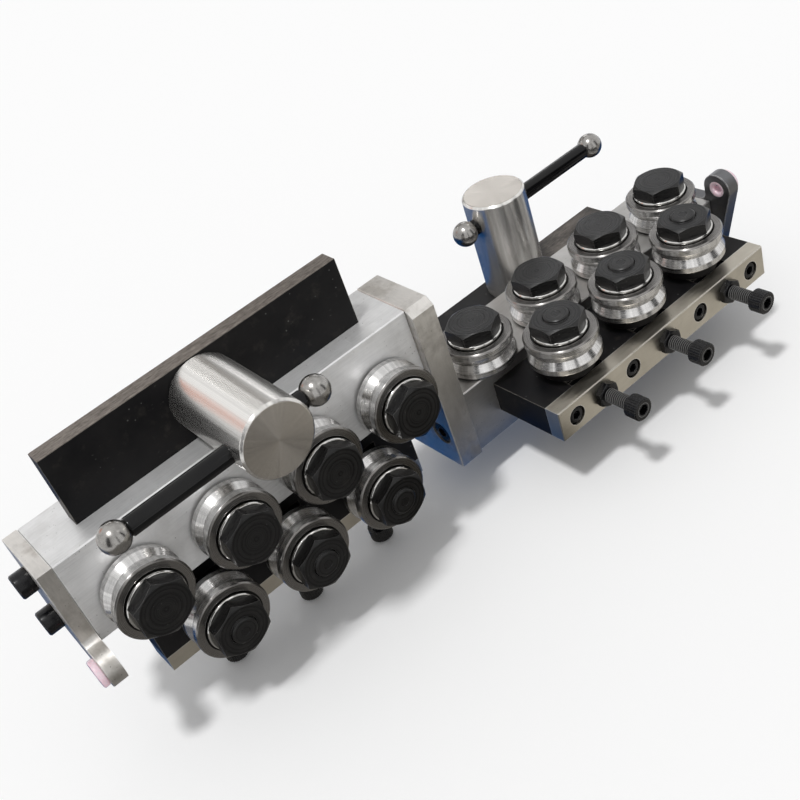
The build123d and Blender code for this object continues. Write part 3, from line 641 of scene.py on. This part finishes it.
def mark_turning(bm):
    """Gives every face its angle round Z as u and its way along the outline as v."""
    layer = bm.loops.layers.uv.new("turning")
    for face in bm.faces:
        middle = face.calc_center_median()
        about = math.atan2(middle.y, middle.x)
        for loop in face.loops:
            place = loop.vert.co
            angle = math.atan2(place.y, place.x) if place.xy.length > 1e-6 else about
            while angle - about > math.pi:
                angle -= 2 * math.pi
            while angle - about < -math.pi:
                angle += 2 * math.pi
            along = 0.3 * place.xy.length + 1.7 * place.z
            loop[layer].uv = (angle / (2 * math.pi), 300.0 * along)


def finished_mesh(name, bm, least=SOFT):
    """Mesh in its own directions, with its own coordinates stored for the finishes."""
    mark_turning(bm)
    sharp_corners(bm, least)
    mesh = bpy.data.meshes.new(name)
    bm.to_mesh(mesh)
    bm.free()
    own = mesh.attributes.new("own", "FLOAT_VECTOR", "POINT")
    own.data.foreach_set("vector", [c for vertex in mesh.vertices for c in vertex.co])
    return mesh


def add_piece(name, mesh, places, body, material, *stands_for):
    """One object made of a copy of the mesh at each place, riding on a body."""
    parts = []
    for place in places:
        part = mesh.copy()
        part.transform(place)
        parts.append(part)
    whole = parts[0]
    if len(parts) > 1:
        bm = bmesh.new()
        for part in parts:
            bm.from_mesh(part)
        whole = mesh.copy()
        bm.to_mesh(whole)
        bm.free()
        for part in parts:
            bpy.data.meshes.remove(part)
    whole.name = name
    whole.materials.clear()
    whole.materials.append(material)
    piece = bpy.data.objects.new(name, whole)
    scene.collection.objects.link(piece)
    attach(piece, body)
    if stands_for:
        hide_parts(*stands_for)


# ------------------------------------------------------------------ rollers
def ring_mesh():
    """Outer ring: vee groove, lands, seal recesses, broken edges."""
    floor = ROLLER_HALF - RECESS_DEPTH
    broken = 0.8
    outline = [(RING_BORE, -floor), (RECESS_RADIUS, -floor), (RECESS_RADIUS, -ROLLER_HALF),
               (ROLLER_RADIUS - broken, -ROLLER_HALF), (ROLLER_RADIUS, -ROLLER_HALF + broken),
               (ROLLER_RADIUS, -GROOVE_HALF_WIDTH), (ROLLER_RADIUS - GROOVE_DEPTH, 0.0),
               (ROLLER_RADIUS, GROOVE_HALF_WIDTH), (ROLLER_RADIUS, ROLLER_HALF - broken),
               (ROLLER_RADIUS - broken, ROLLER_HALF), (RECESS_RADIUS, ROLLER_HALF),
               (RECESS_RADIUS, floor), (RING_BORE, floor)]
    return finished_mesh("roller ring", lathe(outline, 128, 0.22, closed=True), CRISP)


def seal_mesh():
    """Dished seal with a raised lip, one at each end of the ring."""
    low = ROLLER_HALF - RECESS_DEPTH
    outline = [(12.3, low), (16.05, low), (16.05, low + 1.0),
               (15.85, low + 1.1), (15.65, low + 0.9),
               (15.55, low + 0.35), (12.3, low + 0.3)]
    upper = lathe(outline, 96, closed=True)
    lower = moved(lathe(outline, 96, closed=True), Matrix.Rotation(math.pi, 4, "X"))
    return finished_mesh("roller seal", join([upper, lower]), CRISP)


def core_mesh():
    """Inner ring with the polished collar round its hexagon."""
    outline = [(7.52, SEAT_Z), (12.0, SEAT_Z), (12.0, 7.1),
               (15.1, 7.1), (15.3, 7.3), (15.3, CORE_TOP - 0.6),
               (14.9, CORE_TOP - 0.1), (14.6, CORE_TOP), (7.52, CORE_TOP)]
    return finished_mesh("bearing core", lathe(outline, 96, 0.12, closed=True), CRISP)


def turned_off_hexagon(across_flats, low, high):
    """Hexagon with its top corners turned off at 30 degrees."""
    corner = across_flats / math.sqrt(3) + 0.3
    top = 0.49 * across_flats
    drop = (corner - top) * math.tan(math.radians(30))
    foot_drop = 0.3 * drop
    turning = lathe([(0, low), (corner - 2 * foot_drop, low), (corner, low + foot_drop),
                     (corner, high - drop), (top, high), (0, high)], 96)
    return combine(hexagon_bar(across_flats, low - 1.0, high + 1.0), turning, "INTERSECT")


def bolt_mesh():
    """Hexagon bolt of a fixed roller."""
    head = turned_off_hexagon(HEX_ACROSS, CORE_TOP, HEX_TOP)
    shank = lathe([(0, -22.0), (6.3, -22.0), (7.0, -21.3), (7.0, SEAT_Z),
                   (7.45, SEAT_Z), (7.45, CORE_TOP + 0.5), (0, CORE_TOP + 0.5)], 48)
    return finished_mesh("roller bolt", combine(head, shank, "UNION"))


def nut_mesh():
    """Thin nut of an adjustable roller, chamfered at its thread."""
    blank = turned_off_hexagon(HEX_ACROSS, CORE_TOP, HEX_TOP)
    hole = lathe([(0, CORE_TOP - 1.0), (7.05, CORE_TOP - 1.0), (7.05, HEX_TOP - 0.5),
                  (7.9, HEX_TOP + 0.35), (0, HEX_TOP + 0.35)], 64)
    return finished_mesh("roller nut", combine(blank, hole, "DIFFERENCE"))


def stud_end_mesh():
    """End of a stud: thread turns above the nut, chamfer and a turned ring on its end."""
    top = STUD_TOP
    outline = [(0, STUD_ROOT), (6.3, STUD_ROOT), (6.3, HEX_TOP - 2.6),
               (6.95, HEX_TOP - 2.0), (6.3, HEX_TOP - 1.35),
               (6.95, HEX_TOP - 0.7), (6.35, HEX_TOP - 0.1),
               (6.9, HEX_TOP + 0.45), (6.9, top - 0.5), (6.15, top),
               (2.6, top), (2.4, top - 0.15), (0, top - 0.15)]
    return finished_mesh("stud end", lathe(outline, 72, 0.06), CRISP)


def add_rollers():
    """All fourteen rollers, their cores and what clamps them."""
    ring, seal, core, nut, stud = ring_mesh(), seal_mesh(), core_mesh(), nut_mesh(), stud_end_mesh()
    fixed_seats = []

    def add_ring(unit, row, number, seat):
        body = f"{unit}_{row}_ring_{number}"
        node = f"{unit}_{row}_roller_{number}"
        add_piece(f"{body}_steel", ring, [seat], body, ROLLER_STEEL, node)
        add_piece(f"{body}_seals", seal, [seat], body, SEAL_BLACK)

    for unit, place in UNITS.items():
        for number, x in enumerate(FIXED_X, 1):
            seat = place @ at(x, ROW, 0)
            fixed_seats.append(seat)
            add_ring(unit, "fixed", number, seat)
        for number, x in enumerate(MOVING_X, 1):
            seat = place @ at(x, -ROW, 0)
            add_ring(unit, "moving", number, seat)
            slider = f"{unit}_slider_{number}"
            core_name, nut_name = f"{unit}_moving_core_{number}", f"{unit}_roller_nut_{number}"
            add_piece(f"{core_name}_polished", core, [seat], slider, CORE_STEEL, core_name)
            add_piece(f"{nut_name}_turned", nut, [seat], slider, HEX_BLACK, nut_name)
            add_slide(unit, number, seat, stud)
    add_piece("fixed_bearing_cores_polished", core, fixed_seats, "base", CORE_STEEL,
              "fixed_bearing_cores")
    add_piece("fixed_roller_bolts_turned", bolt_mesh(), fixed_seats, "base", HEX_BLACK,
              "fixed_roller_bolts")


def add_slide(unit, number, seat, stud):
    """Slide block from the model's own shape, with its stud end turned anew."""
    node, slider = f"{unit}_slide_block_{number}", f"{unit}_slider_{number}"
    bm = bmesh.new()
    bm.from_mesh(nodes[node].data)
    bmesh.ops.remove_doubles(bm, verts=bm.verts, dist=1e-6)
    moved(bm, seat.inverted())
    whole = bm.verts[:] + bm.edges[:] + bm.faces[:]
    cut = bmesh.ops.bisect_plane(bm, geom=whole, dist=1e-7, plane_co=(0, 0, STUD_ROOT * MM),
                                 plane_no=(0, 0, 1), clear_outer=True)
    rim = [item for item in cut["geom_cut"] if isinstance(item, bmesh.types.BMEdge)]
    bmesh.ops.edgeloop_fill(bm, edges=rim)
    add_piece(f"{node}_body", finished_mesh("slide block", bm), [seat], slider, SLIDE_BLACK, node)
    add_piece(f"{node}_stud_end", stud, [seat], slider, HEX_BLACK)


# ------------------------------------------------------------------ screws
def thread(root, crest, pitch, low, high, steps=28):
    """Thread turns between two heights, closed at both ends."""
    bm = bmesh.new()
    turns = max(1, round((high - low) / pitch) - 1)
    outline = [(root, 0.0), (root, 0.12), (crest, 0.46), (crest, 0.58), (root, 0.92), (root, 1.0)]
    verts = [bm.verts.new((radius * MM, 0.0, (low + share * pitch) * MM))
             for radius, share in outline]
    edges = [bm.edges.new(pair) for pair in zip(verts, verts[1:])]
    bmesh.ops.spin(bm, geom=verts + edges, axis=(0, 0, 1), angle=2 * math.pi * turns,
                   dvec=(0, 0, pitch * MM / steps), steps=steps * turns)
    bmesh.ops.remove_doubles(bm, verts=bm.verts, dist=1e-6)
    bmesh.ops.holes_fill(bm, edges=bm.edges, sides=0)
    bmesh.ops.recalc_face_normals(bm, faces=bm.faces)
    return bm


def knurled_head(radius, low, high, teeth):
    """Screw head with upright knurling and a broken top edge."""
    bm = bmesh.new()
    sides = 4 * teeth
    ring = bmesh.ops.create_circle(bm, cap_ends=True, segments=sides, radius=radius * MM)
    for count, vertex in enumerate(ring["verts"]):
        if count % 4 in (2, 3):
            vertex.co.xy *= 0.965
    bmesh.ops.translate(bm, verts=ring["verts"], vec=(0, 0, low * MM))
    for height, share in ((high - 0.5, 1.0), (high, 0.90)):
        top = sorted((face for face in bm.faces if len(face.verts) == sides),
                     key=lambda face: face.calc_center_median().z)
        pushed = bmesh.ops.extrude_face_region(bm, geom=[top[-1]])
        rim = [item for item in pushed["geom"] if isinstance(item, bmesh.types.BMVert)]
        if len(top) > 1:
            bmesh.ops.delete(bm, geom=[top[-1]], context="FACES_ONLY")
        for vertex in rim:
            vertex.co.z = height * MM
            vertex.co.xy *= share
    bmesh.ops.recalc_face_normals(bm, faces=bm.faces)
    return bm


def smooth_head(radius, low, high):
    """Plain screw head with rounded edges."""
    edge = 0.7
    return lathe([(0, low), (radius - 0.2, low), (radius, low + 0.2),
                  (radius, high - edge), (radius - edge, high), (0, high)], 72, 0.2)


def cap_screw_mesh(name, radius, grip, head_radius, head_length, socket):
    """Socket cap screw along z: head above z = 0, shank below."""
    recess = hexagon_bar(socket, 0.45 * head_length, head_length + 1.0)
    head = combine(smooth_head(head_radius, 0.0, head_length), recess, "DIFFERENCE")
    tip = 0.85 * radius
    shank = lathe([(0, -grip), (tip, -grip), (radius, -grip + radius - tip), (radius, 0.2),
                   (0, 0.2)], 40)
    return finished_mesh(name, join([head, shank]))


def adjusting_screw_mesh():
    """Cap screw with a thread that shows and the button that works its slide, along z."""
    head_low, head_high = 63.5, 71.5
    stem = lathe([(0, 26.85), (2.8, 26.85), (2.8, 29.45), (1.9, 29.45),
                  (1.9, 31.75), (3.3, 31.75), (3.3, head_low + 0.3),
                  (0, head_low + 0.3)], 40)
    turns = thread(3.25, 3.98, 1.25, 32.2, head_low + 0.2)
    head = knurled_head(6.5, head_low, head_high, 30)
    head = combine(head, hexagon_bar(6.0, head_low + 4.0, head_high + 1.0), "DIFFERENCE")
    return finished_mesh("adjusting screw", join([stem, turns, head]))


def lock_nut_mesh():
    """Small hexagon nut, chamfered both sides, standing on z = 0."""
    across, height, hole = 13.0, 4.0, 4.08
    corner = across / math.sqrt(3) + 0.1
    top = 0.475 * across
    drop = (corner - top) * math.tan(math.radians(30))
    turning = lathe([(hole, 0), (top, 0), (corner, drop), (corner, height - drop), (top, height),
                     (hole + 0.3, height), (hole, height - 0.3)], 72, closed=True)
    nut = combine(hexagon_bar(across, -1.0, height + 1.0), turning, "INTERSECT")
    return finished_mesh("lock nut", nut)


def add_screws():
    """Adjusting screws, lock nuts, bar screws and the screws of the end and joint plates."""
    screw, lock_nut = adjusting_screw_mesh(), lock_nut_mesh()
    bar_screw = cap_screw_mesh("bar screw", 3.0, 18.1, 5.0, 6.0, 5.0)
    for unit, place in UNITS.items():
        for number, x in enumerate(MOVING_X, 1):
            node, body = f"{unit}_adjusting_screw_{number}", f"{unit}_screw_{number}"
            seat = place @ at(x, 0, FRAME_MID_Z) @ Z_TO_FRONT
            add_piece(f"{node}_threaded", screw, [seat], body, SCREW_BLACK, node)
        nuts = [place @ at(x, BAR_FRONT_Y, FRAME_MID_Z) @ Z_TO_FRONT for x in MOVING_X]
        sinks = [place @ at(ROW_MID_X + x, BAR_FRONT_Y + BAR_SINK, FRAME_MID_Z) @ Z_TO_FRONT
                 for x in BAR_SCREW_X]
        add_piece(f"{unit}_lock_nuts", lock_nut, nuts, f"{unit}_frame", SCREW_BLACK,
                  f"{unit}_bar_fasteners")
        add_piece(f"{unit}_bar_screws", bar_screw, sinks, f"{unit}_frame", SCREW_BLACK)
    add_end_screws()


def add_end_screws():
    """Cap screws through the guide plates and the joint plate."""
    plate_screw = cap_screw_mesh("plate screw", 4.0, 23.0, 6.5, 8.0, 6.0)
    joint_screw = cap_screw_mesh("joint screw", 4.0, 21.2, 6.5, 8.0, 6.0)
    first, second = UNITS["first"], UNITS["second"]
    low_end, high_end = BLOCK_X

    def seat(unit, x, y, turn):
        return unit @ at(x, y, BLOCK_MID_Z) @ turn

    outer, inner = [], []
    for y in END_SCREW_Y:
        outer.append(seat(first, low_end - END_PLATE, y, Z_TO_MINUS_X))
        outer.append(seat(second, high_end + END_PLATE, y, Z_TO_PLUS_X))
        inner.append(seat(first, high_end + JOINT_SCREW_SEAT, y, Z_TO_PLUS_X))
    for y in JOINT_SCREW_Y:
        inner.append(seat(second, low_end - JOINT_SCREW_SEAT, y, Z_TO_MINUS_X))
    add_piece("plate_screws", plate_screw, outer, "base", SCREW_BLACK, "end_screws")
    add_piece("joint_screws", joint_screw, inner, "base", SCREW_BLACK)


# ------------------------------------------------------------------ quick release
def post_mesh():
    """Post with broken edges and a cross hole for the tommy bar, on its eccentric journal."""
    foot, top, radius = -24.4, 41.0, 19.0
    post = lathe([(0, foot), (radius - 0.6, foot), (radius, foot + 0.6),
                  (radius, top - 1.2), (radius - 1.2, top), (0, top)], 160, 0.3)
    hole = lathe([(0, -30), (4.85, -30), (4.85, 30), (0, 30)], 64)
    moved(hole, at(0, 0, BAR_Z) @ Z_TO_PLUS_X)
    post = combine(post, hole, "DIFFERENCE")
    journal = lathe([(0, -34.5), (10.4, -34.5), (8.0, -32.0),
                     (8.0, foot + 0.5), (0, foot + 0.5)], 72)
    journal = moved(journal, at(0, 2.0, 0))
    return finished_mesh("cam post", combine(post, journal, "UNION"), CRISP)


def tommy_bar_mesh():
    """Bar along z with chamfered ends and thin necks that the balls sit on."""
    half, neck, end = 47.4, 3.0, 54.4
    bar, chamfer = 4.75, 0.7
    outline = [(0, -end), (neck, -end), (neck, -half), (bar - chamfer, -half),
               (bar, -half + chamfer), (bar, half - chamfer), (bar - chamfer, half), (neck, half),
               (neck, end), (0, end)]
    return finished_mesh("tommy bar", lathe(outline, 64, 0.12), CRISP)


def ball_mesh():
    """Ball with the flat that meets the bar, bored for its neck; centre at z = 0, flat below."""
    radius, flat, bore, depth = 7.5, 6.4, 3.05, 1.2
    start = math.asin(-flat / radius)
    arc = [start + (math.pi / 2 - start) * k / 40 for k in range(41)]
    outline = [(0, depth), (bore, depth), (bore, -flat)]
    outline += [(max(0.0, radius * math.cos(a)), radius * math.sin(a)) for a in arc]
    return finished_mesh("ball", lathe(outline, 80))


def add_quick_release():
    """Posts, tommy bars and balls of both units."""
    post, bar, ball = post_mesh(), tommy_bar_mesh(), ball_mesh()
    for unit, place in UNITS.items():
        post_place = place @ at(POST_X[unit], POST_Y, 0)
        middle = place @ at(BAR_X[unit], POST_Y, BAR_Z)
        ends = [middle @ at(BALL_OFFSET, 0, 0) @ Z_TO_PLUS_X,
                middle @ at(-BALL_OFFSET, 0, 0) @ Z_TO_MINUS_X]
        post_node, bar_node, ball_node = (f"{unit}_{name}" for name in
                                          ("cam_post", "tommy_bar", "tommy_balls"))
        add_piece(f"{post_node}_turned", post, [post_place], f"{unit}_cam", POST_STEEL, post_node)
        body = f"{unit}_tommy"
        add_piece(f"{bar_node}_gloss", bar, [middle @ Z_TO_PLUS_X], body, BAR_BLACK, bar_node)
        add_piece(f"{ball_node}_chromed", ball, ends, body, BALL_CHROME, ball_node)


def add_eyelets():
    """Flanged eyelets with rounded mouths in both guide plates."""
    start, end, bore, flange, body = -3.4, 8.0, 2.6, 7.5, 5.0
    mouth, edge = 1.6, 0.6
    quarter = [math.pi / 2 * k / 8 for k in range(9)]
    swell = [(bore + mouth * (1 - math.cos(a)), mouth * (1 - math.sin(a))) for a in quarter]
    outline = [(radius, start + rise) for radius, rise in swell]
    outline += [(flange - edge, start), (flange, start + edge), (flange, -edge),
                (flange - edge, 0), (body, 0), (body, end)]
    outline += [(radius, end - rise) for radius, rise in reversed(swell)]
    mesh = finished_mesh("eyelet", lathe(outline, 72, 0.12, closed=True))
    entry = UNITS["first"] @ at(BLOCK_X[0] - END_PLATE, 0, 0) @ Z_TO_PLUS_X
    leave = UNITS["second"] @ at(BLOCK_X[1] + END_PLATE, 0, 0) @ Z_TO_MINUS_X
    add_piece("wire_eyelets_glazed", mesh, [entry, leave], "base", EYELET_PINK, "wire_eyelets")


def dress_model():
    """Finishes for the model's own flat pieces."""
    finishes = {"first_block": LIGHTER_PAINTED_BLOCK_STEEL, "second_block": DARKER_PAINTED_BLOCK_STEEL,
                "joint_plate": PLATE_STEEL, "entry_guide_plate": PLATE_STEEL,
                "exit_guide_plate": EXIT_STEEL,
                "first_slide_frame": FRAME_BLACK, "second_slide_frame": FRAME_BLACK,
                "first_front_bar": BAR_NICKEL, "second_front_bar": BAR_NICKEL}
    for node, material in finishes.items():
        mesh = nodes[node].data
        mesh.materials.clear()
        mesh.materials.append(material)


# ------------------------------------------------------------------ floor, world and lamps
FLOOR_Z = -0.0225
BLUE = (0.010, 0.065, 0.20)


def plain_surface(name, size, place, turn=(0, 0, 0)):
    """Flat square stage piece."""
    bm = bmesh.new()
    bmesh.ops.create_grid(bm, x_segments=1, y_segments=1, size=0.5)
    mesh = bpy.data.meshes.new(name)
    bm.to_mesh(mesh)
    bm.free()
    thing = bpy.data.objects.new(name, mesh)
    thing.scale = (size[0], size[1], 1)
    thing.location = place
    thing.rotation_euler = [math.radians(angle) for angle in turn]
    scene.collection.objects.link(thing)
    return thing


def white_to_mirrors(sheet):
    """1 for rays from the camera and from metal and glass, else 0."""
    path = sheet.node("LightPath").outputs
    seen = sheet.math("MAXIMUM", path["Is Camera Ray"], path["Is Glossy Ray"])
    return sheet.math("MAXIMUM", seen, path["Is Transmission Ray"])


def make_world():
    """White to the camera and to metal, softer as light."""
    world = bpy.data.worlds.new("studio")
    scene.world = world
    world.use_nodes = True
    sheet = Sheet(world.node_tree)
    back = world.node_tree.nodes["Background"]
    back.inputs["Color"].default_value = (1, 1, 1, 1)
    sheet.feed(back.inputs["Strength"], sheet.blend(white_to_mirrors(sheet), 0.55, 1.0))


def make_floor():
    """Pale floor under the machine that keeps its soft shadow."""
    floor = plain_surface("floor", (40.0, 40.0), (0, 0, FLOOR_Z))
    f = Finish("pale floor", Roughness=0.9)
    f.surface.inputs["Specular IOR Level"].default_value = 0.0
    grain = f.noise(f.place, 3.0, 2.0, 0.5)
    f.set(f.mix(grain, (0.96, 0.96, 0.96, 1), (0.98, 0.98, 0.98, 1)))
    floor.data.materials.append(f.material)


def add_flag(name, size, place, colour, turn=(0, 0, 0)):
    """Dark or tinted card that only shows in shiny surfaces."""
    flag = plain_surface(name, size, place, turn)
    material = bpy.data.materials.new(name)
    material.use_nodes = True
    sheet = Sheet(material.node_tree)
    shine = sheet.node("Emission", Color=tuple(colour) + (1,))
    sheet.feed(material.node_tree.nodes["Material Output"].inputs["Surface"], shine.outputs[0])
    flag.data.materials.append(material)
    flag.visible_camera = False
    flag.visible_diffuse = False
    flag.visible_shadow = False
    flag.visible_transmission = False
    return flag


def add_flags():
    """Cards round the machine, which give its steel something darker to mirror."""
    low = FLOOR_Z + 0.0003
    lower = (("left front card", (0.37, 0.63), (-0.315, -0.315, low), (0.25, 0.24, 0.225)),
             ("front card", (0.88, 0.57), (0.31, -0.345, low), (0.56, 0.54, 0.50)),
             ("joint card", (0.11, 0.14), (-0.1025, -0.13, low + 0.0001), (0.08, 0.073, 0.06)),
             ("left back card", (0.37, 0.325), (-0.315, 0.1625, low), BLUE),
             ("back card", (0.53, 0.385), (0.135, 0.1325, low), BLUE),
             ("dark patch", (0.13, 0.12), (0.078, 0.078, low + 0.0001), (0.012, 0.014, 0.020)))
    for card in lower:
        add_flag(*card)
    for number, (bearing, width) in enumerate(((-62, 0.30), (-12, 0.12), (38, 0.34)), 1):
        angle = math.radians(207 + bearing)
        spot = (0.95 * math.sin(angle), 0.95 * math.cos(angle), 0.42)
        add_flag(f"upright card {number}", (width, 0.9), spot, (0.03, 0.03, 0.032),
                 (90, 0, -math.degrees(angle)))
    behind = (("pale card", (1.2, 0.50), (0.92, 0.72, 0.64), (0.64, 0.64, 0.65)),
              ("grey card", (0.50, 0.40), (0.05, 0.71, 0.60), (0.30, 0.28, 0.26)),
              ("brown card", (0.18, 0.34), (0.08, 0.70, 0.28), (0.09, 0.078, 0.065)),
              ("low dark card", (0.16, 0.24), (0.37, 0.70, 0.09), (0.05, 0.05, 0.055)),
              ("warm card", (0.25, 0.28), (-0.63, 0.70, 0.49), (1.0, 0.50, 0.38)),
              ("left dark card", (0.16, 0.09), (-0.80, 0.70, 0.165), (0.03, 0.035, 0.045)),
              ("low strip", (0.30, 0.06), (0.505, 0.69, 0.445), (5.0, 5.0, 5.0)),
              ("high strip", (0.30, 0.06), (-0.06, 0.69, 0.514), (4.0, 4.0, 4.0)))
    for card in behind:
        add_flag(*card, turn=(90, 0, 0))
    for number, (x, y) in enumerate(((-0.50, -0.50), (0.40, -0.60)), 1):
        add_flag(f"ceiling strip {number}", (0.30, 0.16), (x, y, 1.0), (1.9, 1.9, 1.9),
                 turn=(180, 0, 20))


def add_sun(name, direction, strength, spread):
    """Even light from one side; direction points from the machine to the light."""
    data = bpy.data.lights.new(name, "SUN")
    data.energy = strength
    data.angle = math.radians(spread)
    lamp = bpy.data.objects.new(name, data)
    lamp.rotation_euler = Vector(direction).to_track_quat("Z", "Y").to_euler()
    scene.collection.objects.link(lamp)


make_camera()
scene.view_settings.view_transform = "Standard"
make_world()
make_floor()
add_flags()
add_sun("overhead", (-0.30, -0.14, 1.0), 1.5, 7.0)

dress_model()
add_rollers()
add_screws()
add_quick_release()
add_eyelets()
